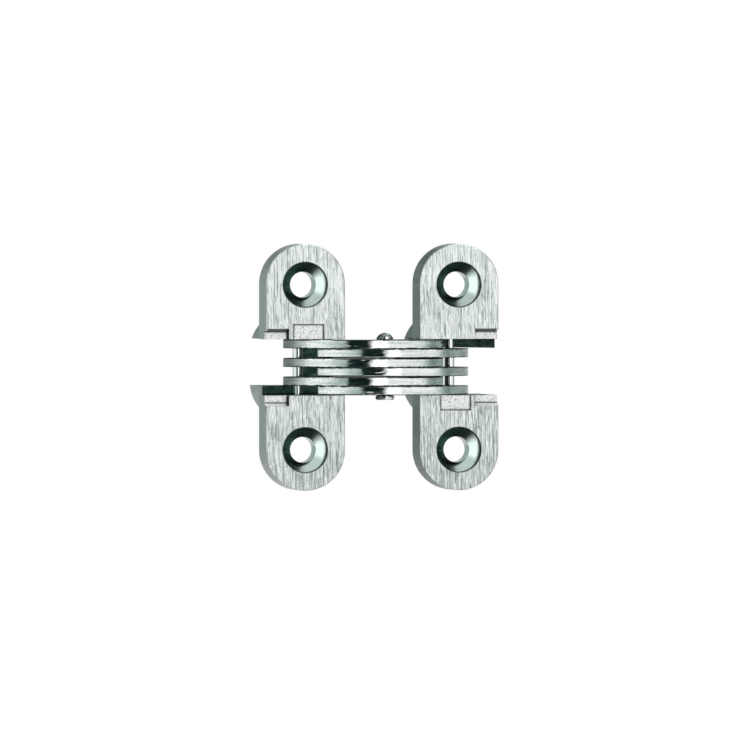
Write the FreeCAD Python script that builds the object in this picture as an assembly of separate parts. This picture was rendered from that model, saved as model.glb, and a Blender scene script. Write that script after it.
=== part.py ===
import FreeCAD, Part
import os
from math import acos, asin, atan2, cos, degrees, hypot, radians, sin, sqrt, tan

# Concealed door hinge, opened flat. Two equal cast leaves hold six stacked links.
# Sizes are millimetres. +Z runs up the hinge, along every pin.
# The screw faces look towards -Y, so +Y is depth into the frame or the door.
# The shapes are drawn with depth counted from the screw face. Each is saved with the origin
# at the middle of the frame leaf's screw pattern, level with the backs of the ears,
# which bed on the shoulders of the mortise. The door leaf stands at +X.
# The door side is the frame side turned half round about the view axis.

# Leaf castings
leaf_width = 12.7
leaf_length = 39.0
ear_thickness = 6.4
body_depth = 16.2
body_length = 17.6
body_edge_round = 0.8
face_edge_round = 0.15
leaf_spacing = 24.64
closed_gap = 0.8

# Screw holes
screw_spacing = 26.1
screw_hole_d = 4.1
countersink_d = 7.15
countersink_angle = 82.0
countersink_lead = 0.7

# Stack of links, which takes turns from the top: door link, frame link, and so on
pair_count = 3
link_thickness = 1.425
gap_in_pair = 0.03
gap_between_pairs = 0.06
pocket_end_gap = 0.06

# Linkage, as places in a leaf: across towards the knuckle, and deep
knuckle_lift = 2.4
knuckle_closed_across = -4.8
pivot_deep = 6.3
slider_across = 0.1
slider_deep = 8.0

# Link outline. Its front is one arc through its far corner, over the knuckle, to its near corner.
far_corner_across = -2.6
far_corner_deep = 6.06
arch_above_knuckle = 1.45
near_corner_across = 2.16
near_corner_deep = 1.53
slider_eye_wall = 0.5
pivot_eye_wall = 0.7
knuckle_eye_wall = 1.0
link_corner_r = 0.5
link_crook_r = 1.5
link_rolled_edge = 0.2
link_sharp_edge = 0.06

# Pins and their fits
slider_pin_d = 1.6
pivot_pin_d = 1.6
rivet_d = 1.8
pin_grip = 0.9
pin_end_chamfer = 0.2
running_gap = 0.04
pin_end_gap = 0.1
groove_gap = 0.12
groove_end_turn = 5.0
rivet_head_d = 2.65
rivet_head_h = 1.1
rivet_head_rim = 0.25
rivet_foot_d = 2.95
rivet_foot_h = 0.7
rivet_foot_round = 0.25
rivet_seat_gap = 0.03

# Pocket between the cheeks
web_thickness = 0.65
web_start_across = 1.6
sweep_gap = 0.25
scoop_gap = 1.2

# Recesses in the screw face: one at each ear's outer corner, where the rivet's ends
# lie when the hinge is shut, and a shallow bare panel
rivet_room_width = 3.75
rivet_room_height = 1.65
rivet_room_slope = 0.45
rivet_room_gap = 0.15
panel_across = -1.9
panel_width = 4.9
panel_height = 2.4
panel_deep = 0.2
cut_past = 1.0

half_width = leaf_width / 2
knuckle_x = leaf_spacing / 2
pair_pitch = 2 * link_thickness + gap_in_pair + gap_between_pairs
stack_top = (pair_count * pair_pitch - gap_between_pairs) / 2
pocket_top = stack_top + pocket_end_gap
grip_top = pocket_top + pin_grip
groove_top = grip_top + pin_end_gap


def at(x, y, z=0.0):
    return FreeCAD.Vector(x, y, z)


def distance(one, other):
    return hypot(one.x - other.x, one.y - other.y)


def toward(start, end, length):
    """The point that lies the length from start on the way to end."""
    share = length / distance(start, end)
    return at(start.x + (end.x - start.x) * share, start.y + (end.y - start.y) * share)


def swung(point, centre, turn):
    """The point after a swing about the centre by the turn in degrees, the way the hinge closes."""
    a = -radians(turn)
    dx, dy = point.x - centre.x, point.y - centre.y
    return at(centre.x + dx * cos(a) - dy * sin(a), centre.y + dx * sin(a) + dy * cos(a))


def across_knuckle(point):
    """The same place on the other leaf, or on the other kind of link."""
    return at(2 * knuckle_x - point.x, point.y)


# The knuckle travels on a circle about the frame's fixed pivot, so the pivot lies
# on the line that halves the way between the knuckle's open and closed places.
knuckle = at(knuckle_x, -knuckle_lift)
knuckle_closed = at(knuckle_closed_across, -closed_gap / 2)
halfway = (knuckle + knuckle_closed) * 0.5
lean = (knuckle.y - knuckle_closed.y) / (knuckle.x - knuckle_closed.x)
pivot = at(halfway.x - (pivot_deep - halfway.y) * lean, pivot_deep)
slider = at(slider_across, slider_deep)
far_pivot = across_knuckle(pivot)

# Both kinds of link turn together: closing by 180 degrees is the sum of the two turns.
frame_link_turn = 2 * degrees(asin(distance(knuckle, knuckle_closed) / 2 / distance(knuckle, pivot)))
door_link_turn = 180.0 - frame_link_turn


def slider_at(share):
    """Where the slider pin lies in its groove, at a share of the whole closing travel."""
    moved_knuckle = swung(knuckle, pivot, share * frame_link_turn)
    return moved_knuckle + swung(slider, knuckle, share * door_link_turn) - knuckle




def line(start, end):
    return Part.LineSegment(start, end).toShape()


def arc(start, through, end):
    return Part.Arc(start, through, end).toShape()


far_corner = at(far_corner_across, far_corner_deep)
near_corner = across_knuckle(at(near_corner_across, near_corner_deep))
over_knuckle = knuckle - at(0, arch_above_knuckle)
arch = arc(far_corner, over_knuckle, near_corner).Curve
arch_centre, arch_r = arch.Center, arch.Radius


def prism(edges, z_low, z_high):
    face = Part.Face(Part.Wire(edges))
    face.translate(at(0, 0, z_low))
    return face.extrude(at(0, 0, z_high - z_low))


def box(x_range, y_range, z_range):
    corner = at(x_range[0], y_range[0], z_range[0])
    return Part.makeBox(x_range[1] - x_range[0], y_range[1] - y_range[0], z_range[1] - z_range[0], corner)


def rod(centre, radius, z_low, z_high):
    return Part.makeCylinder(radius, z_high - z_low, at(centre.x, centre.y, z_low))


def rounded(solid, radius, chosen):
    """The solid with every edge rounded that the test picks."""
    return solid.makeFillet(radius, [e for e in solid.Edges if chosen(e)])


def upright_at(point):
    """A test for the upright edge that stands at this place."""
    def chosen(edge):
        b = edge.BoundBox
        return b.ZLength > 0.1 and hypot(b.XLength, b.YLength) < 0.01 and distance(b.Center, point) < 0.01
    return chosen


def lies_level(edge):
    return edge.BoundBox.ZLength < 0.001


def level_at(z):
    """A test for the edges that lie level at this height."""
    return lambda edge: lies_level(edge) and abs(edge.BoundBox.ZMin - z) < 0.001


def half_round_slab(length, y_high):
    """A slab as wide as the leaf with half-round ends, from the screw face back to y_high."""
    r = half_width
    top = length / 2 - r
    outline = Part.Wire([
        line(at(r, 0, -top), at(r, 0, top)),
        arc(at(r, 0, top), at(0, 0, top + r), at(-r, 0, top)),
        line(at(-r, 0, top), at(-r, 0, -top)),
        arc(at(-r, 0, -top), at(0, 0, -top - r), at(r, 0, -top)),
    ])
    return Part.Face(outline).extrude(at(0, y_high, 0))


def slider_groove(gap, z_low, z_high):
    """The slider pin's room: a curved slot through its open, middle and closed places."""
    half = slider_pin_d / 2 + gap
    places = [slider_at(share) for share in (0, 0.5, 1)]
    centre = arc(*places).Curve.Center
    reach = distance(centre, places[0])
    outer = [toward(centre, place, reach + half) for place in places]
    inner = [toward(centre, place, reach - half) for place in places]
    before_start = toward(places[0], swung(places[0], centre, -groove_end_turn), half)
    after_end = toward(places[2], swung(places[2], centre, groove_end_turn), half)
    return prism([
        arc(*outer),
        arc(outer[2], after_end, inner[2]),
        arc(inner[2], inner[1], inner[0]),
        arc(inner[0], before_start, outer[0]),
    ], z_low, z_high)


def screw_hole(z):
    """A countersunk through hole with a short straight lead-in at the face."""
    cone_end = countersink_lead + (countersink_d - screw_hole_d) / 2 / tan(radians(countersink_angle / 2))
    profile = Part.makePolygon([
        at(0, 0, z), at(countersink_d / 2, 0, z), at(countersink_d / 2, countersink_lead, z),
        at(screw_hole_d / 2, cone_end, z), at(screw_hole_d / 2, ear_thickness, z),
        at(0, ear_thickness, z), at(0, 0, z),
    ])
    return Part.Face(profile).revolve(at(0, 0, z), at(0, 1, 0), 360)


def face_recesses():
    """Room for the rivet's ends at each ear's outer corner, and a bare panel on the upper ear."""
    room_deep = (rivet_foot_d - closed_gap) / 2 + rivet_room_gap
    room_top = pocket_top + rivet_room_height
    floor_top = room_top - rivet_room_slope
    profile = Part.makePolygon([
        at(-half_width, -cut_past, -room_top), at(-half_width, 0, -room_top),
        at(-half_width, room_deep, -floor_top), at(-half_width, room_deep, floor_top),
        at(-half_width, 0, room_top), at(-half_width, -cut_past, room_top),
        at(-half_width, -cut_past, -room_top),
    ])
    panel_top = pocket_top + panel_height
    return [
        Part.Face(profile).extrude(at(rivet_room_width, 0)),
        box((panel_across, panel_across + panel_width), (-cut_past, panel_deep), (0, panel_top)),
    ]


def cheek_step(body):
    """The lower cheek is a link thicker on its outer side, and scooped out for the lowest link's swing."""
    level = (-pocket_top, -stack_top + link_thickness + gap_in_pair - pocket_end_gap)
    plate = body.common(box((-half_width, half_width), (0, body_depth), level))
    shut_arch = swung(across_knuckle(arch_centre), pivot, frame_link_turn)
    corner_reach = distance(pivot, across_knuckle(near_corner))
    return plate.cut([
        rod(shut_arch, arch_r + scoop_gap, *level),
        rod(pivot, corner_reach + sweep_gap, *level),
        slider_groove(sweep_gap, *level),
    ])


def frame_leaf():
    """A zinc casting: two thick ears, a deep body behind them, and a pocket right through between two cheeks."""
    body = half_round_slab(leaf_length, ear_thickness).fuse(half_round_slab(body_length, body_depth))
    body = body.removeSplitter()
    body = rounded(body, body_edge_round, lambda e: e.BoundBox.YMin > body_depth - 0.01)
    body = rounded(body, face_edge_round, lambda e: e.BoundBox.YMax < 0.01)
    web = body.common(box((web_start_across, half_width), (body_depth - web_thickness, body_depth),
                          (-pocket_top, pocket_top)))
    step = cheek_step(body)
    pocket = box((-leaf_width, leaf_width), (-cut_past, body_depth + cut_past), (-pocket_top, pocket_top))
    body = body.cut(pocket).fuse([web, step]).removeSplitter()
    return body.cut([
        rod(pivot, pivot_pin_d / 2, -grip_top, grip_top),
        slider_groove(groove_gap, 0, groove_top),
        slider_groove(groove_gap, -groove_top, -pocket_top),
        screw_hole(screw_spacing / 2),
        screw_hole(-screw_spacing / 2),
        *face_recesses(),
    ])


def tangent_point(outside, centre, radius, side):
    """Where the line from an outside point touches a circle, on the left (+1) or right (-1) of its middle."""
    reach = distance(outside, centre)
    heading = atan2(centre.y - outside.y, centre.x - outside.x) + side * asin(radius / reach)
    length = sqrt(reach ** 2 - radius ** 2)
    return at(outside.x + length * cos(heading), outside.y + length * sin(heading))


def common_tangent(one, one_r, other, other_r):
    """The two points where a line touches two circles on their left, seen from the first one."""
    heading = atan2(other.y - one.y, other.x - one.x) + acos((one_r - other_r) / distance(one, other))
    normal = at(cos(heading), sin(heading))
    return one + normal * one_r, other + normal * other_r


def leaves_circle(start, end, centre, radius):
    """Where the line from a start inside the circle to an end outside it crosses the circle."""
    way = (end - start) * (1 / distance(start, end))
    along = (start - centre).dot(way)
    return start + way * (sqrt(along ** 2 - distance(start, centre) ** 2 + radius ** 2) - along)


def door_link(level, knuckle_gap):
    """A stamped link from the slider pin in the frame leaf, over the knuckle, to its pivot in the door leaf."""
    z_high = stack_top - level * pair_pitch
    z_low = z_high - link_thickness
    slider_eye_r = slider_pin_d / 2 + slider_eye_wall
    pivot_eye_r = pivot_pin_d / 2 + pivot_eye_wall
    knuckle_eye_r = rivet_d / 2 + knuckle_eye_wall
    inner_r = distance(arch_centre, slider) - slider_eye_r
    eye_in = toward(slider, arch_centre, slider_eye_r)
    eye_out = tangent_point(far_corner, slider, slider_eye_r, 1)
    eye_tip = toward(slider, (eye_in + eye_out) * 0.5, slider_eye_r)
    arm_start, arm_end = common_tangent(knuckle, knuckle_eye_r, far_pivot, pivot_eye_r)
    crook = leaves_circle(arm_end, arm_start, arch_centre, inner_r)
    inner_middle = toward(arch_centre, (eye_in + crook) * 0.5, inner_r)
    pivot_out = tangent_point(near_corner, far_pivot, pivot_eye_r, -1)
    pivot_tip = toward(far_pivot, (arm_end + pivot_out) * 0.5, pivot_eye_r)
    blank = prism([
        arc(near_corner, over_knuckle, far_corner),
        line(far_corner, eye_out),
        arc(eye_out, eye_tip, eye_in),
        arc(eye_in, inner_middle, crook),
        line(crook, arm_end),
        arc(arm_end, pivot_tip, pivot_out),
        line(pivot_out, near_corner),
    ], z_low, z_high)
    blank = rounded(blank, link_corner_r, upright_at(far_corner))
    blank = rounded(blank, link_corner_r, upright_at(near_corner))
    blank = rounded(blank, link_crook_r, upright_at(crook))
    blank = rounded(blank, link_rolled_edge, level_at(z_high))
    blank = rounded(blank, link_sharp_edge, level_at(z_low))
    return blank.cut([
        rod(slider, slider_pin_d / 2, z_low, z_high),
        rod(knuckle, rivet_d / 2 + knuckle_gap, z_low, z_high),
        rod(far_pivot, pivot_pin_d / 2 + running_gap, z_low, z_high),
    ])


def pin(centre, diameter):
    """A plain pin that reaches into both cheeks, with broken ends."""
    solid = rod(centre, diameter / 2, -grip_top, grip_top)
    ends = [e for e in solid.Edges if lies_level(e)]
    return solid.makeChamfer(pin_end_chamfer, ends)


def centre_rivet():
    """The knuckle's rivet, with a domed head on top and a flatter foot that is hammered over below."""
    def ring(radius, z):
        return at(knuckle.x + radius, knuckle.y, z)

    def corner(z_edge, z_side):
        """A quarter round between the foot's flat end and its side."""
        inner_r = foot_r - rivet_foot_round
        middle_z = z_side + (z_edge - z_side) * sin(radians(45))
        middle_r = inner_r + rivet_foot_round * cos(radians(45))
        return ring(inner_r, z_edge), ring(middle_r, middle_z), ring(foot_r, z_side)

    head_r, foot_r, shank_r = rivet_head_d / 2, rivet_foot_d / 2, rivet_d / 2
    foot_top = -stack_top - rivet_seat_gap
    foot_end = foot_top - rivet_foot_h
    lower = corner(foot_end, foot_end + rivet_foot_round)
    upper = corner(foot_top, foot_top - rivet_foot_round)
    rim = ring(head_r, stack_top + rivet_head_rim)
    crown = ring(0, stack_top + rivet_head_h)
    dome_h = rivet_head_h - rivet_head_rim
    dome_r = (head_r ** 2 + dome_h ** 2) / 2 / dome_h
    half_turn = asin(head_r / dome_r) / 2
    shoulder = ring(dome_r * sin(half_turn), crown.z - dome_r * (1 - cos(half_turn)))
    outline = [
        line(ring(0, foot_end), lower[0]), arc(*lower), line(lower[2], upper[2]), arc(*reversed(upper)),
        line(upper[0], ring(shank_r, foot_top)),
        line(ring(shank_r, foot_top), ring(shank_r, stack_top)),
        line(ring(shank_r, stack_top), ring(head_r, stack_top)),
        line(ring(head_r, stack_top), rim), arc(rim, shoulder, crown),
        line(crown, ring(0, foot_end)),
    ]
    return Part.Face(Part.Wire(outline)).revolve(ring(0, 0), at(0, 0, 1), 360)


def turned_over(shape):
    """The door side of a frame-side shape: half a turn about the view axis through the middle."""
    copy = shape.copy()
    copy.rotate(at(knuckle_x, 0), at(0, 1, 0), 180)
    return copy


def save(name, shape):
    """One piece to its file, moved so that the ears' backs lie at the origin's depth."""
    solid = shape.Solids[0]
    solid.translate(at(0, -ear_thickness))
    solid.exportStep(f"parts/{name}.step")
    print(f"{name}: {solid.Volume:.2f} mm3, valid {solid.isValid()}, solids {len(shape.Solids)}")


os.makedirs("parts", exist_ok=True)
leaf = frame_leaf()
save("frame_leaf", leaf)
save("door_leaf", turned_over(leaf))
for level in range(pair_count):
    save(f"door_link_{level + 1}", door_link(level, 0))
    opposite = pair_count - 1 - level
    save(f"frame_link_{level + 1}", turned_over(door_link(opposite, running_gap)))
save("frame_pivot_pin", pin(pivot, pivot_pin_d))
save("door_pivot_pin", turned_over(pin(pivot, pivot_pin_d)))
save("frame_slider_pin", pin(slider, slider_pin_d))
save("door_slider_pin", turned_over(pin(slider, slider_pin_d)))
save("centre_rivet", centre_rivet())
print(f"frame link turns {frame_link_turn:.4f} degrees, door link {door_link_turn:.4f}")
for name, place in (("frame pivot", pivot), ("knuckle", knuckle), ("door pivot", far_pivot)):
    print(f"{name}: x {place.x:.4f}, y {place.y - ear_thickness:.4f}")
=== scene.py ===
# %% [markdown]
# # A concealed door hinge, dressed for its photograph
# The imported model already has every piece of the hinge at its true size: two zinc leaves, six
# steel links, four pins and a rivet. Nothing has to be modelled again, so this lesson is about
# what makes bare metal look real: what it is plated with, how each of its faces was worked,
# and what stands round it in the studio, because polished metal has no look of its own and
# shows its surroundings.

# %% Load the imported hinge
import math

import bpy
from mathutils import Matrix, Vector


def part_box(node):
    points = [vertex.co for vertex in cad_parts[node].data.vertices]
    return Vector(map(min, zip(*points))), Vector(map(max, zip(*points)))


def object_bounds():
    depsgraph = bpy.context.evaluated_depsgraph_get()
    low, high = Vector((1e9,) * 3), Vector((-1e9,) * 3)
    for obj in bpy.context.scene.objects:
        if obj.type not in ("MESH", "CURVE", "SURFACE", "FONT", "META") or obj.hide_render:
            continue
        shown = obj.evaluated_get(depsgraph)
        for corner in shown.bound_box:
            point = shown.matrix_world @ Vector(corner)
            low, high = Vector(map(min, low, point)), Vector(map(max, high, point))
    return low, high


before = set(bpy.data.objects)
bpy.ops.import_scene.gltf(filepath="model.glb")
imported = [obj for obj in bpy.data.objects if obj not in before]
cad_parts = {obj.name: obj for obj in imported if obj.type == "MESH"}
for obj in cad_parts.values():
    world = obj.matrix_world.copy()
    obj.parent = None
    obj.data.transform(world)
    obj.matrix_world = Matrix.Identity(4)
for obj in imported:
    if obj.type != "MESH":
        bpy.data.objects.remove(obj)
cad_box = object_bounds()
scene = bpy.context.scene
bpy.ops.object.select_all(action="DESELECT")

# %% [markdown]
# ## Sizes in millimetres
# Blender counts in metres, and the hinge was drawn in millimetres. Every size here is written
# in millimetres and multiplied by mm, so that a number can be checked against a ruler. What
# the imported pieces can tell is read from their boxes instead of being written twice. X runs
# from the frame leaf to the door leaf, Y into the wood, and Z up the pins.

# %% Places on the hinge
mm = 0.001
lowest, highest = cad_box
leaf_low, leaf_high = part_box("frame_leaf")
rivet_low, rivet_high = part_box("centre_rivet")
face_y = leaf_low.y
knuckle_x = (rivet_low.x + rivet_high.x) / 2
print("size in mm:", [round(v / mm, 2) for v in highest - lowest])
print("front face at y", round(face_y / mm, 2), "and knuckle at x", round(knuckle_x / mm, 2))

# %% [markdown]
# ## The camera
# The photograph was taken square to the height of the hinge and about ten degrees round to
# its left, so that the left sides of the leaves show as a narrow strip. It stood a hair above
# the middle, so no light comes through the thin gaps between the links. Far lines in it don't
# draw together, which means a long lens a good way off. The lens is worked out from how wide
# the picture is at the hinge's front face, so moving the camera back keeps the hinge's size.

# %% Camera
picture_width = 116.27 * mm
aim = Vector((10.04 * mm, face_y, -0.11 * mm))
camera_distance = 2500 * mm
camera_turn = math.radians(-9.8)
camera_rise = math.radians(0.8)
camera_data = bpy.data.cameras.new("camera")
camera_data.lens = camera_data.sensor_width * camera_distance / picture_width
camera_data.clip_start, camera_data.clip_end = 0.01, 20
camera = bpy.data.objects.new("camera", camera_data)
scene.collection.objects.link(camera)
level = math.cos(camera_rise)
back = Vector((math.sin(camera_turn) * level, -math.cos(camera_turn) * level, math.sin(camera_rise)))
camera.location = aim + back * camera_distance
camera.rotation_euler = (-back).to_track_quat("-Z", "Y").to_euler()
scene.camera = camera
print("lens in mm:", round(camera_data.lens))

# %% [markdown]
# ## The floor
# The photograph's white ground lies behind the hinge and shows neither edge nor shadow. Here
# the hinge is held up, as its screws would hold it, over a pale table. The table lies just
# below the camera's view, where it takes the shadow and gives the metal something plain to
# show from underneath. A round one is chosen, because it ends equally far off on every side.

# %% Floor
floor_drop = 60 * mm
floor_radius = 600 * mm
floor_middle = (knuckle_x, 0, lowest.z - floor_drop)
bpy.ops.mesh.primitive_circle_add(vertices=96, radius=floor_radius, fill_type="NGON",
                                  location=floor_middle)
floor = bpy.context.object
floor.name = "floor"
bpy.ops.object.transform_apply(location=True)
print("floor lies at z in mm:", round(floor_middle[2] / mm, 1))

# %% [markdown]
# ## Colours and nodes
# A colour is written the way a screen shows it, as a hex value, but Blender counts in the
# light behind it, so one function turns the first into the second. A material is a net of
# nodes, and each node has to be made, set and linked. By hand that is a line for every socket,
# so one function does all three for every kind of node.

# %% Colours and nodes
def linear(hex_colour):
    """A colour as it is read off a screen, turned to the linear light that Blender counts in."""
    channels = []
    for start in (1, 3, 5):
        share = int(hex_colour[start:start + 2], 16) / 255
        channels.append(share / 12.92 if share <= 0.04045 else ((share + 0.055) / 1.055) ** 2.4)
    return (*channels, 1.0)


def add_node(tree, kind, inputs=(), out=0, **settings):
    """Adds a node and gives back one of its outputs, by number or name. The inputs are a list in
    the order of its sockets, or a dict with their numbers or names. Each is a value, a hex colour,
    or an output to link from. The settings are the node's own properties."""
    node = tree.nodes.new("ShaderNode" + kind)
    for name, value in settings.items():
        setattr(node, name, value)
    for name, value in inputs.items() if isinstance(inputs, dict) else enumerate(inputs):
        if isinstance(value, bpy.types.NodeSocket):
            tree.links.new(value, node.inputs[name])
        else:
            node.inputs[name].default_value = linear(value) if isinstance(value, str) else value
    return node.outputs[out]


print("middle grey on a screen is this much light:", round(linear("#808080")[0], 3))

# %% [markdown]
# ## The floor's card
# The table is covered with matt pale card. Towards its edge it fades to the white of the
# ground, for the camera alone, so that no edge shows from higher up while its light on the
# hinge stays as it was. From below the card is clear, so that it never hides the hinge.

# %% The floor's card
fade_start, fade_end = 0.3 * floor_radius, 0.95 * floor_radius
card = bpy.data.materials.new("pale_card")
card.use_nodes = True
tree = card.node_tree
matt = tree.nodes["Principled BSDF"]
matt.inputs["Base Color"].default_value = linear("#e4e5e4")
matt.inputs["Roughness"].default_value = 0.8
place = add_node(tree, "TexCoord", out="Object")
from_middle = add_node(tree, "VectorMath", [place, floor_middle], out="Value", operation="DISTANCE")
far = add_node(tree, "MapRange", [from_middle, fade_start, fade_end], interpolation_type="SMOOTHSTEP")
to_camera = add_node(tree, "LightPath", out="Is Camera Ray")
fading = add_node(tree, "Math", [far, to_camera], operation="MULTIPLY")
white = add_node(tree, "Emission", ["#ffffff", 1.0])
faded = add_node(tree, "MixShader", [fading, matt.outputs[0], white])
from_below = add_node(tree, "NewGeometry", out="Backfacing")
card_or_clear = add_node(tree, "MixShader", [from_below, faded, add_node(tree, "BsdfTransparent")])
tree.links.new(card_or_clear, tree.nodes["Material Output"].inputs["Surface"])
floor.data.materials.append(card)
print("card fades from", round(fade_start / mm), "to", round(fade_end / mm), "mm off the middle")

# %% [markdown]
# ## What stands round the hinge
# The links' polished edges tell what stood in the studio. Each one is a mirror bent round the
# hinge, so along it the whole room is laid out: grey at its far left, a dark patch just left of
# the middle, where it looks back at the camera, then bright white, then a softer grey white.
# Edges that lean up or down show a darker room, so the light came from a level strip. Modelling
# that room would take walls and cards on all sides. Painting it on the world is simpler, as
# bands by compass direction and shades by height.

# %% Bands of the room
room = (  # place round the compass in degrees, 0 towards the viewer, growing to the right
    (-90, "#fafffc"), (-62, "#f4faf7"), (-40, "#bccac5"), (-33, "#a9b9b4"), (-28, "#08201d"),
    (-4, "#061a18"), (2, "#ffffff"), (26, "#f4f6f4"), (60, "#f6f9f6"), (72, "#e4ebe7"), (82, "#93a49e"),
    (90, "#7b8d87"), (100, "#93a39e"), (125, "#c5d0cc"), (148, "#e6ece9"), (168, "#c6cfcb"),
    (190, "#b3c2bd"), (212, "#bfc9c5"), (240, "#b0bab6"), (258, "#e4eae7"),
)
heights = (  # place between straight down, -1, and straight up, 1
    (-1, "#2a3937"), (-0.3, "#22302e"), (-0.12, "#ffffff"), (0.16, "#ffffff"), (0.36, "#3c4a48"),
    (0.52, "#aab3b0"), (0.7, "#ffffff"),
)


def painted_bands(tree, place, stops, first, last):
    """Bands that melt into each other along a scale from first to last."""
    bands = add_node(tree, "ValToRGB", [place], out="Color")
    elements = bands.node.color_ramp.elements
    elements.remove(elements[-1])
    for number, (at, colour) in enumerate(stops):
        share = (at - first) / (last - first)
        stop = elements[0] if number == 0 else elements.new(share)
        stop.position, stop.color = share, linear(colour)
    return bands


print("bands round the room:", len(room), "and up it:", len(heights))

# %% [markdown]
# ## The world
# The painted room is for reflections only. What lights a matt surface is one even white, and
# so is what the camera sees, which is the photograph's ground.

# %% World
whole_circle = (-90, 270)
light_on_matt = 0.55
world = bpy.data.worlds.new("studio")
scene.world = world
world.use_nodes = True
tree = world.node_tree
sky = tree.nodes["Background"]
direction = add_node(tree, "TexCoord", out="Generated")
compass = add_node(tree, "TexGradient", [direction], out="Fac", gradient_type="RADIAL")
upward = add_node(tree, "SeparateXYZ", [direction], out="Z")
height = add_node(tree, "MapRange", [upward, -1.0, 1.0])
walls = painted_bands(tree, compass, room, *whole_circle)
shades = painted_bands(tree, height, heights, -1, 1)
painted = add_node(tree, "Mix", {0: 1.0, 6: walls, 7: shades}, out=2, data_type="RGBA",
                   blend_type="MULTIPLY")
to_gloss = add_node(tree, "LightPath", out="Is Glossy Ray")
seen = add_node(tree, "Mix", {0: to_gloss, 6: "#ffffff", 7: painted}, out=2, data_type="RGBA")
to_matt = add_node(tree, "LightPath", out="Is Diffuse Ray")
tree.links.new(seen, sky.inputs["Color"])
strength = add_node(tree, "MapRange", [to_matt, 0.0, 1.0, 1.0, light_on_matt])
tree.links.new(strength, sky.inputs["Strength"])
print("nodes that make the room:", len(tree.nodes))

# %% [markdown]
# ## The lamps
# Past the dark patch the links' edges and the pins flash pure white. That is a softbox just
# right of the camera and level with the hinge, a little brighter than the room. Three more,
# higher up to the right, to the left and behind, keep the other sides from going flat.

# %% Lamps
def softbox(name, compass_degrees, height_degrees, distance, width, height, power):
    """A soft lamp that looks at the hinge, placed by compass as the room's bands are. Its sizes
    are in metres."""
    lamp = bpy.data.lights.new(name, "AREA")
    lamp.shape, lamp.size, lamp.size_y, lamp.energy = "RECTANGLE", width, height, power
    box = bpy.data.objects.new(name, lamp)
    scene.collection.objects.link(box)
    turn, rise = math.radians(compass_degrees), math.radians(height_degrees)
    level = math.cos(rise) * distance
    box.location = Vector((knuckle_x + math.sin(turn) * level, -math.cos(turn) * level,
                           math.sin(rise) * distance))
    box.rotation_euler = (Vector((knuckle_x, 0, 0)) - box.location).to_track_quat("-Z", "Y").to_euler()
    print(name, "stands at", [round(v, 2) for v in box.location], "with", power, "watts")


softbox("front_softbox", 11, 0, 1.3, 0.4, 0.5, 0.3)
softbox("key_softbox", 24, 48, 1.1, 0.5, 0.5, 3.0)
softbox("fill_softbox", -66, 40, 1.0, 0.6, 0.6, 2.5)
softbox("back_softbox", 132, 35, 1.1, 0.6, 0.6, 2.5)

# %% [markdown]
# ## The leaves: satin chrome on die-cast zinc
# A leaf comes out of its mould with a smooth grey skin. Its face is dragged over a belt, a
# cutter opens the countersinks, and the whole is plated. Shade is painted into the pocket and
# on the sides by the knuckle. All that is on one casting, so it is one material, and each finish
# is laid over the one before. A point's place and the way its surface faces tell which finish it
# gets. Both are read in the model's own frame, so they stay with the leaf when it turns.
# All the metals here start from the same shader, with Blender's own IOR.

# %% The leaf's metal
def metal(name, roughness):
    """A new metal: its material, tree and shader, and where a point lies and which way it faces."""
    made = bpy.data.materials.new(name)
    made.use_nodes = True
    tree = made.node_tree
    shader = tree.nodes["Principled BSDF"]
    shader.inputs["Metallic"].default_value = 1.0
    shader.inputs["Roughness"].default_value = roughness
    place = add_node(tree, "TexCoord", out="Object")
    normal = add_node(tree, "TexCoord", out="Normal")
    return made, tree, shader, place, normal


cast_leaf, tree, shader, place, normal = metal("satin_chromed_die_cast_zinc", 0.4)
x, y, z = (add_node(tree, "SeparateXYZ", [place], out=axis) for axis in "XYZ")
facing_x, facing_y, facing_z = (add_node(tree, "SeparateXYZ", [normal], out=axis) for axis in "XYZ")
print("metal of the leaves:", cast_leaf.name)

# %% [markdown]
# ## Where a finish lies
# Where a finish lies is said by masks: values of 1 on it and 0 off it, with a narrow fade
# between. Masks combine as words do: all of them together, or any one of them. A colour is
# then built up in coats, each laid on where its masks allow.

# %% Masks and coats
blur = 0.1 * mm


def all_of(tree, *masks):
    """1 where every mask is 1. A plain number among them weakens it."""
    share = masks[0]
    for mask in masks[1:]:
        share = add_node(tree, "Math", [share, mask], operation="MULTIPLY")
    return share


def any_of(tree, *masks):
    """As strong as the strongest of the masks."""
    share = masks[0]
    for mask in masks[1:]:
        share = add_node(tree, "Math", [share, mask], operation="MAXIMUM")
    return share


def coated(tree, colour, *coats):
    """A colour under coats laid on in turn. A coat is a colour and the masks it lies on."""
    for coat, *masks in coats:
        share = all_of(tree, *masks)
        colour = add_node(tree, "Mix", {0: share, 6: colour, 7: coat}, out=2, data_type="RGBA")
    return colour


print("a mask fades over", round(blur / mm, 2), "mm")

# %% [markdown]
# ## The cast skin
# The skin of a casting is cloudy, with grains of about a third of a millimetre. The back is a
# pale satin, and the sides are painted darker, a painted shade. The sides that look towards
# the knuckle get a further dark teal painted shade. A pattern on worked metal is noise with
# the size of real marks, so one helper makes it from millimetres, along each axis.

# %% Cast skin
cast_grain = (0.35, 0.35, 0.35)
knuckle_shade_share = 0.6


def marks(tree, place, size_mm, detail):
    """Noise with marks of a real size in millimetres along X, Y and Z. It runs from 0 to 1."""
    stretched = add_node(tree, "Mapping", {"Vector": place, "Scale": [1 / (s * mm) for s in size_mm]})
    sockets = {"Vector": stretched, "Scale": 1.0, "Detail": detail, "Roughness": 0.6}
    return add_node(tree, "TexNoise", sockets, out="Fac")


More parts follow.
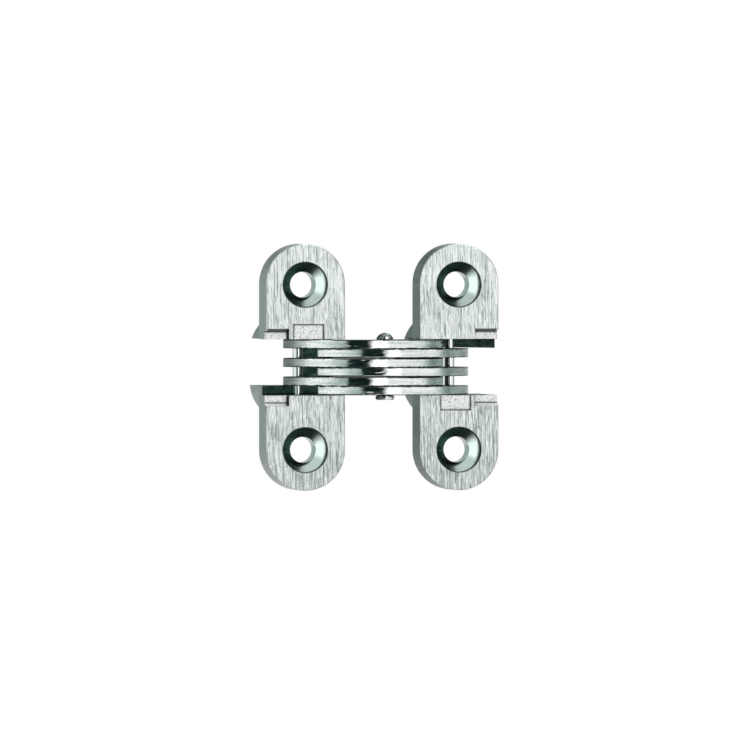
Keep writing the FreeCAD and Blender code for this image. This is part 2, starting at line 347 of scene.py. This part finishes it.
def towards_knuckle(tree, x, facing_x, low, high):
    """1 on sides that look towards the knuckle, from low to high of a full turn to it."""
    beyond = add_node(tree, "Math", [x, knuckle_x], operation="GREATER_THAN")
    sign = add_node(tree, "MapRange", [beyond, 0, 1, 1, -1])
    turned_in = add_node(tree, "Math", [facing_x, sign], operation="MULTIPLY")
    return add_node(tree, "MapRange", [turned_in, low, high])


skin_grain = marks(tree, place, cast_grain, 4.0)
cloudy = add_node(tree, "MapRange", [skin_grain, 0.3, 0.7])
back_skin = coated(tree, "#c8cccb", ("#dfe1e0", cloudy))
# The sides are painted darker than the back: painted shade.
shaded_side_skin = coated(tree, "#98a29f", ("#adb5b2", cloudy))
sideways = add_node(tree, "Math", [facing_x], operation="ABSOLUTE")
on_side = add_node(tree, "MapRange", [sideways, 0.2, 0.7])
# Sides that look towards the knuckle are painted dark teal: painted shade.
painted_shade_share = towards_knuckle(tree, x, facing_x, 0.15, 0.6)
colour = coated(tree, back_skin, (shaded_side_skin, on_side), ("#17403a", painted_shade_share, knuckle_shade_share))
print("grains across a leaf:", round((leaf_high.x - leaf_low.x) / (cast_grain[0] * mm)))

# %% [markdown]
# ## The recesses
# Shallow steps beside the pocket give the links room. They lie below the belt's reach, so
# their floors keep a bright plated skin, a little speckled. Their walls get a painted shade,
# weaker on those that look up. The mask keeps off the leaf's long sides, which are walls
# of another kind.

# %% Recesses
recess_reach = 2 * mm
recess_half_height = 7 * mm
side_inset = 0.3 * mm
leaf_half_width = (leaf_high.x - leaf_low.x) / 2
from_knuckle = add_node(tree, "Math", [x, knuckle_x], operation="SUBTRACT")
aside = add_node(tree, "Math", [from_knuckle], operation="ABSOLUTE")
inner, outer = knuckle_x - leaf_half_width + side_inset, knuckle_x + leaf_half_width - side_inset
between_sides = all_of(tree, add_node(tree, "MapRange", [aside, inner, inner + blur]),
                       add_node(tree, "MapRange", [aside, outer, outer - blur]))
height = add_node(tree, "Math", [z], operation="ABSOLUTE")
middle = add_node(tree, "MapRange", [height, recess_half_height, recess_half_height - blur])
shallow = add_node(tree, "MapRange", [y, face_y + recess_reach + blur, face_y + recess_reach])
recessed = all_of(tree, shallow, add_node(tree, "MapRange", [facing_y, -0.8, -0.95]))
# Recess walls are painted dark, less where they look up: painted shade.
not_facing_up = add_node(tree, "MapRange", [facing_z, 0.3, 0.6, 1.0, 0.2])
standing = add_node(tree, "MapRange", [facing_y, -0.8, -0.6])
recess_wall_shade = all_of(tree, shallow, middle, standing, not_facing_up, between_sides)
speckled = add_node(tree, "MapRange", [skin_grain, 0.3, 0.52])
plated = coated(tree, "#b4bcb9", ("#fbfcfb", speckled))
colour = coated(tree, colour, (plated, recessed))
print("recesses are", round(recess_reach / mm, 1), "mm deep at most")

# %% [markdown]
# ## The face that the belt dragged over
# An abrasive belt leaves straight scratches along the leaf. Each one has an even shade and a
# clean start and end, which stretched noise never gives, so they are drawn as strokes: columns
# as wide as a scratch, each cut into lengths with a random shade. Long lines, short hairs,
# broad bands and grit are added up, each with its own weight. Real scratches are a few
# hundredths of a millimetre wide. They are drawn about 0.1 mm wide, so that they still show
# from where the camera stands.

# %% Belt scratches
belt_line, belt_line_length = 0.12, 3.2
belt_hair, belt_hair_length = 0.1, 1.0
belt_band = (1.4, 1, 4)
belt_grit = (0.16, 0.16, 0.16)
belt_lean = math.radians(1.5)


def strokes(tree, place, width_mm, length_mm):
    """A random shade from 0 to 1 for each of many straight strokes along Z, side by side along X."""
    x, z = (add_node(tree, "SeparateXYZ", [place], out=axis) for axis in "XZ")
    column = add_node(tree, "Math", [x, 1 / (width_mm * mm)], operation="MULTIPLY")
    column = add_node(tree, "Math", [column], operation="FLOOR")
    start = add_node(tree, "TexWhiteNoise", {"W": column}, noise_dimensions="1D")
    length = add_node(tree, "Math", [z, 1 / (length_mm * mm)], operation="MULTIPLY")
    length = add_node(tree, "Math", [length, start], operation="ADD")
    length = add_node(tree, "Math", [length], operation="FLOOR")
    stroke = add_node(tree, "CombineXYZ", [column, length])
    return add_node(tree, "TexWhiteNoise", {"Vector": stroke}, noise_dimensions="2D")


def weighed(tree, *parts):
    """The sum of patterns, each multiplied by its weight."""
    whole = 0.0
    for pattern, weight in parts:
        part = add_node(tree, "Math", [pattern, weight], operation="MULTIPLY")
        whole = add_node(tree, "Math", [whole, part], operation="ADD")
    return whole


leaning = add_node(tree, "Mapping", {"Vector": place, "Rotation": (0, belt_lean, 0)})
fine = strokes(tree, leaning, belt_line, belt_line_length)
hair = strokes(tree, leaning, belt_hair, belt_hair_length)
band = marks(tree, place, belt_band, 1.0)
grit = marks(tree, place, belt_grit, 2.0)
print("scratches side by side on a leaf:", round((leaf_high.x - leaf_low.x) / (belt_line * mm)))

# %% [markdown]
# ## The belt's face on the leaf
# The face is painted a little brighter towards the top than the bottom, a painted light. Only
# the flat front gets its scratches, so the mask asks for both the depth of the face and a
# surface that looks straight out of it.

# %% Belted face
face_depth = 0.04 * mm
scratch = add_node(tree, "MapRange", [fine, 0.0, 0.6])
line = weighed(tree, (scratch, 0.24), (hair, 0.24), (band, 0.14), (grit, 0.38))
# A painted light: the streaks grow brighter towards the top.
painted_top_light = add_node(tree, "MapRange", [z, lowest.z, highest.z, -0.07, 0.04])
bitten = add_node(tree, "Math", [line, painted_top_light], operation="ADD")
streak = add_node(tree, "MapRange", [bitten, 0.24, 0.66])
at_face = add_node(tree, "MapRange", [y, face_y + 3 * face_depth, face_y + face_depth])
front = all_of(tree, at_face, add_node(tree, "MapRange", [facing_y, -0.75, -0.95]))
belted = coated(tree, "#75807e", ("#e0e6e4", streak))
colour = coated(tree, colour, (belted, front))
print("the face ends", round(3 * face_depth / mm, 2), "mm behind its front")

# %% [markdown]
# ## Countersinks and screw holes
# The countersinks are turned, so they are bright and nearly a mirror. The holes below them
# are painted a little darker, a painted shade. All four are alike, so the place is folded into
# one quarter, as a sheet of paper would be, and one distance from one screw's axis serves them
# all. A thin dark ring round each rim is partly a burr and partly a painted shade.

# %% Countersinks
screw_spacing = 26.1 * mm
countersink_r = 3.575 * mm
bore_r = 2.05 * mm
bore_start = 2.4 * mm
edge = 0.03 * mm
rim_line = 0.04 * mm
folded = add_node(tree, "CombineXYZ", [aside, 0.0, height])
screw = (knuckle_x, 0, screw_spacing / 2)
from_screw = add_node(tree, "VectorMath", [folded, screw], out="Value", operation="DISTANCE")
bore_depth = face_y + bore_start
below_cone = add_node(tree, "MapRange", [y, bore_depth, bore_depth + blur])
above_bore = add_node(tree, "MapRange", [below_cone, 0, 1, 1, 0])
in_cone = add_node(tree, "MapRange", [from_screw, countersink_r + edge, countersink_r - edge])
sunk = all_of(tree, in_cone, above_bore)
in_bore = add_node(tree, "MapRange", [from_screw, bore_r + 2 * rim_line, bore_r + rim_line])
shaded_bore = all_of(tree, in_bore, below_cone)
# A dark ring round each rim, partly a burr and partly painted shade.
rim_out = add_node(tree, "MapRange", [from_screw, countersink_r + 3 * rim_line, countersink_r + rim_line])
rim_in = add_node(tree, "MapRange", [from_screw, countersink_r - 3 * rim_line, countersink_r - rim_line])
rim_burr_and_shade = all_of(tree, rim_out, rim_in, above_bore)
# The holes are painted darker than the countersinks: painted shade.
colour = coated(tree, colour, ("#e6f0ec", sunk), ("#a3b8b3", shaded_bore))
print("countersinks are", round(2 * countersink_r / mm, 2), "mm wide, holes", round(2 * bore_r / mm, 2))

# %% [markdown]
# ## The pocket
# The links fold into the pocket, which is painted dark green, a painted shade, with smears of
# grease. The body round it is a half-round slab, so a point is inside when it lies near enough
# to the slab's spine, a short straight line up its middle. That keeps the painted shade off the outside.

# %% Pocket
pocket_half_height = 5.5 * mm
web_front = 9.15 * mm
body_straight = 2.45 * mm
wall_skin = 2 * blur
smear = (1.6, 1.6, 0.7)
on_spine = add_node(tree, "Math", [body_straight, height], operation="MINIMUM")
spine = add_node(tree, "CombineXYZ", [knuckle_x, 0.0, on_spine])
from_spine = add_node(tree, "VectorMath", [folded, spine], out="Value", operation="DISTANCE")
pocket_start = face_y + recess_reach
in_pocket = all_of(tree, add_node(tree, "MapRange", [y, pocket_start, pocket_start + 4 * blur]),
                   add_node(tree, "MapRange", [y, web_front + 2 * blur, web_front + blur]),
                   add_node(tree, "MapRange", [height, pocket_half_height, pocket_half_height - blur]),
                   add_node(tree, "MapRange", [from_spine, leaf_half_width - wall_skin,
                                               leaf_half_width - wall_skin - blur]))
smeared = add_node(tree, "MapRange", [marks(tree, place, smear, 2.0), 0.35, 0.65])
# The pocket's inside is painted dark green: painted shade, with grease smears.
shaded_greasy_pocket = coated(tree, "#3f625b", ("#7c9892", smeared))
colour = coated(tree, colour, (shaded_greasy_pocket, in_pocket))
print("pocket is", round(2 * pocket_half_height / mm), "mm high, smears are", smear[0], "mm long")

# %% [markdown]
# ## Painted shade in the creases and on the corners
# The creases of a piece get a painted shade. Ambient occlusion finds them, and it looks at
# the piece alone, so that a crease stays dark when its neighbour moves away. Sharp corners get
# a painted shade too, stronger on those that look towards +X, with specks along them. A bevel
# that is worked out but never made finds those: where it would turn the surface away, there is
# a corner.

# %% Painted shade in creases and on corners
# The dark teal colour of all painted shade on the metals.
painted_shade_colour = "#0b1f1c"
corner_reach = 0.22
crease_reach = 0.4


def shaded_creases(tree, reach_mm, open_share, shut_share):
    """1 in the creases of this piece within reach, and 0 in the open."""
    hidden = add_node(tree, "AmbientOcclusion", {"Distance": reach_mm * mm}, out="AO", samples=8,
                      only_local=True)
    return add_node(tree, "MapRange", [hidden, shut_share, open_share, 1.0, 0.0])


def near_corner(tree, reach_mm):
    """1 along the corners of this piece within reach, where a rounded surface would turn away."""
    rounded = add_node(tree, "Bevel", {"Radius": reach_mm * mm}, samples=8)
    straight = add_node(tree, "NewGeometry", out="Normal")
    agreed = add_node(tree, "VectorMath", [rounded, straight], out="Value", operation="DOT_PRODUCT")
    return add_node(tree, "MapRange", [agreed, 0.985, 0.88])


speck = add_node(tree, "MapRange", [grit, 0.5, 0.62, 0.0, 0.9])
# Corners are painted dark, more on those facing +X, with specks: painted shade.
shaded_corner_side = add_node(tree, "MapRange", [facing_x, -0.3, 0.3])
corner_shade = all_of(tree, near_corner(tree, corner_reach), any_of(tree, speck, all_of(tree, shaded_corner_side, 0.6)))
# Creases of the piece are painted dark: painted shade.
crease_shade = shaded_creases(tree, crease_reach, 0.95, 0.75)
# All painted shade on the leaf together, with a burr along the rims.
painted_shade_and_burr = any_of(tree, all_of(tree, recess_wall_shade, 0.85), all_of(tree, crease_shade, 0.9), corner_shade,
              all_of(tree, rim_burr_and_shade, 0.85))
tree.links.new(coated(tree, colour, (painted_shade_colour, painted_shade_and_burr)), shader.inputs["Base Color"])
# How far the painted shade reaches out of a crease and from a corner.
print("dirt reaches", crease_reach, "mm out of a crease, burrs", corner_reach, "mm from a corner")

# %% [markdown]
# ## How rough the leaf is
# The skin is satin. The belted face is smoother, most of all along its bright scratches. The
# turned countersinks and holes are smoothest. The scratches and the grain are also a relief of
# two hundredths of a millimetre, which breaks up what the metal mirrors.

# %% Roughness and relief of the leaf
turned_roughness = 0.1
relief_height = 0.02 * mm
by_face = add_node(tree, "MapRange", [front, 0, 1, 0.42, 0.3])
by_streak = add_node(tree, "MapRange", [streak, 0, 1, 0.06, -0.04])
satin = add_node(tree, "Math", [by_face, by_streak], operation="ADD")
rough = add_node(tree, "Mix", {0: any_of(tree, sunk, shaded_bore), 2: satin, 3: turned_roughness})
relief = weighed(tree, (all_of(tree, front, fine), 1.0), (skin_grain, 0.25))
bump = add_node(tree, "Bump", {"Strength": 0.35, "Distance": relief_height, "Height": relief})
tree.links.new(rough, shader.inputs["Roughness"])
tree.links.new(bump, shader.inputs["Normal"])
print("nodes in the leaf's material:", len(tree.nodes))

# %% [markdown]
# ## The links: nickel on stamped steel
# A stamping die shears each link out of strip, and tumbling with stones polishes its edge.
# A few faint lines run along that edge, where the die slid past, it is softly wavy from the
# stones, and it is pitted here and there. The nickel over it is nearly a mirror, so its colour
# stays close to white. The flat sides are duller, and the ends are painted darker, a painted shade.

# %% Stamped links
shear_line = (7, 7, 0.35)
tumbled_patch = (2.2, 2.2, 0.6)
pit = (0.5, 0.5, 0.22)
link_plate, tree, shader, place, normal = metal("nickel_plated_stamped_steel", 0.1)
shear = marks(tree, place, shear_line, 2.0)
patch = marks(tree, place, tumbled_patch, 0.9)
pitted = add_node(tree, "MapRange", [marks(tree, place, pit, 3.0), 0.56, 0.66])
sheared = add_node(tree, "MapRange", [shear, 0.35, 0.65])
sideways, upwards = (
    add_node(tree, "Math", [add_node(tree, "SeparateXYZ", [normal], out=axis)], operation="ABSOLUTE")
    for axis in "XZ")
flat = add_node(tree, "MapRange", [upwards, 0.97, 0.995])
# The ends of the links are painted darker: painted shade.
shaded_end = add_node(tree, "MapRange", [sideways, 0.7, 0.87, 0.0, 0.62])
colour = coated(tree, "#d6dedb", ("#ffffff", sheared), ("#71807c", pitted, 0.4), ("#8d9995", flat),
                ("#2f403c", shaded_end))
print("lines along an edge lie", shear_line[2], "mm apart, pits are", pit[0], "mm long")

# %% [markdown]
# ## Painted shade between the links
# A dark uneven line is painted between one link and the next and over their rolled corners,
# kept off their flats: a painted shade. The links lie in even layers, so a place's height
# folded at every half layer tells how far the seam is.

# %% Painted shade on the links
seam_reach = 0.16 * mm
seam_shade_wobble = (1.2, 1.2, 1.2)
link_pitch = (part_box("door_link_1")[0].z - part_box("door_link_2")[0].z) / 2
z = add_node(tree, "SeparateXYZ", [place], out="Z")
from_seam = add_node(tree, "Math", [z, link_pitch / 2], operation="PINGPONG")
uneven = add_node(tree, "MapRange", [marks(tree, place, seam_shade_wobble, 3.0), 0.35, 0.65, -0.06 * mm, 0.08 * mm])
reached = add_node(tree, "Math", [from_seam, uneven], operation="ADD")
# A dark uneven line painted along each seam: painted shade.
seam_shade = add_node(tree, "MapRange", [reached, seam_reach + 0.04 * mm, seam_reach - 0.04 * mm])
rolled = add_node(tree, "MapRange", [upwards, 0.2, 0.5])
off_flat = add_node(tree, "MapRange", [flat, 1, 0])
# Painted shade along the seams and rolled corners, off the flats.
painted_shade_share = all_of(tree, off_flat, any_of(tree, seam_shade, rolled))
tree.links.new(coated(tree, colour, (painted_shade_colour, painted_shade_share, 0.95)), shader.inputs["Base Color"])
polish = add_node(tree, "MapRange", [patch, 0.3, 0.7, 0.05, 0.12])
dulled = all_of(tree, any_of(tree, painted_shade_share, flat), 0.25)
rough = add_node(tree, "Math", [polish, dulled], operation="ADD")
relief = weighed(tree, (shear, 0.08), (patch, 1.0))
bump = add_node(tree, "Bump", {"Strength": 0.8, "Distance": 0.065 * mm, "Height": relief})
tree.links.new(rough, shader.inputs["Roughness"])
tree.links.new(bump, shader.inputs["Normal"])
print("one layer of links is", round(link_pitch / mm, 3), "mm high")

# %% [markdown]
# ## The pins: nickel on drawn steel
# Drawn wire is smooth, with faint lines along it from the die, so it shows the studio as clear
# upright strips. The side that looks towards the knuckle is painted dark, a painted shade.

# %% Drawn pins
draw_line = (0.12, 0.12, 6)
pin_steel, tree, shader, place, normal = metal("nickel_plated_drawn_steel", 0.08)
drawn = marks(tree, place, draw_line, 2.0)
x = add_node(tree, "SeparateXYZ", [place], out="X")
facing_x = add_node(tree, "SeparateXYZ", [normal], out="X")
# The pin's side towards the knuckle is painted dark: painted shade.
painted_shade_share = towards_knuckle(tree, x, facing_x, 0.3, 0.45)
colour = coated(tree, "#e6eae8", ("#ffffff", drawn), (painted_shade_colour, painted_shade_share, 0.93))
tree.links.new(colour, shader.inputs["Base Color"])
tree.links.new(add_node(tree, "MapRange", [drawn, 0.3, 0.7, 0.05, 0.1]), shader.inputs["Roughness"])
print("drawn lines are", draw_line[2], "mm long")

# %% [markdown]
# ## The rivet: hammered over
# The rivet holds all six links, and its two ends were hammered over them, which leaves them
# softly uneven. Their foot, where they meet the links, and the side that looks away from the
# lamps are painted dark, a painted shade, and so are their creases.

# %% Rivet
hammer_mark = (0.7, 0.7, 0.5)
foot_top = 4.5 * mm
foot_fade = 0.25 * mm
shaded_side_width = 0.7 * mm
rivet_steel, tree, shader, place, normal = metal("nickel_plated_rivet_steel", 0.14)
x, z = (add_node(tree, "SeparateXYZ", [place], out=axis) for axis in "XZ")
height = add_node(tree, "Math", [z], operation="ABSOLUTE")
hammered = marks(tree, place, hammer_mark, 1.0)
beaten = add_node(tree, "MapRange", [hammered, 0.35, 0.6])
# The foot and the side away from the lamps are painted dark: painted shade.
shaded_foot = add_node(tree, "MapRange", [height, foot_top + foot_fade, foot_top])
shaded_side = add_node(tree, "MapRange", [x, knuckle_x, knuckle_x - shaded_side_width, 0.0, 0.85])
painted_shade_share = any_of(tree, all_of(tree, shaded_foot, 0.75), shaded_side)
crease_shade = shaded_creases(tree, 0.3, 0.9, 0.35)
colour = coated(tree, "#7d8885", ("#eceeec", beaten), (painted_shade_colour, painted_shade_share), (painted_shade_colour, crease_shade, 0.9))
bump = add_node(tree, "Bump", {"Strength": 0.5, "Distance": 0.05 * mm, "Height": hammered})
tree.links.new(colour, shader.inputs["Base Color"])
tree.links.new(bump, shader.inputs["Normal"])
print("the rivet's ends stand", round((rivet_high.z - foot_top) / mm, 2), "mm above its foot")

# %% [markdown]
# ## Dress the pieces
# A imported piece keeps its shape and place, and only what fills its material slots changes.
# The word in a piece's name says which metal it is made of.

# %% Dress the pieces
finishes = {"leaf": cast_leaf, "link": link_plate, "pin": pin_steel, "rivet": rivet_steel}
for name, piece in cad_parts.items():
    finish = next(made for word, made in finishes.items() if word in name.split("_"))
    for number in range(len(piece.material_slots)):
        piece.material_slots[number].material = finish
    print(name, "->", finish.name)

# %% [markdown]
# ## Look settings
# Standard shows each colour as it was written.

# %% Finish
scene.view_settings.view_transform = "Standard"
print("colours are shown by the view transform", scene.view_settings.view_transform)
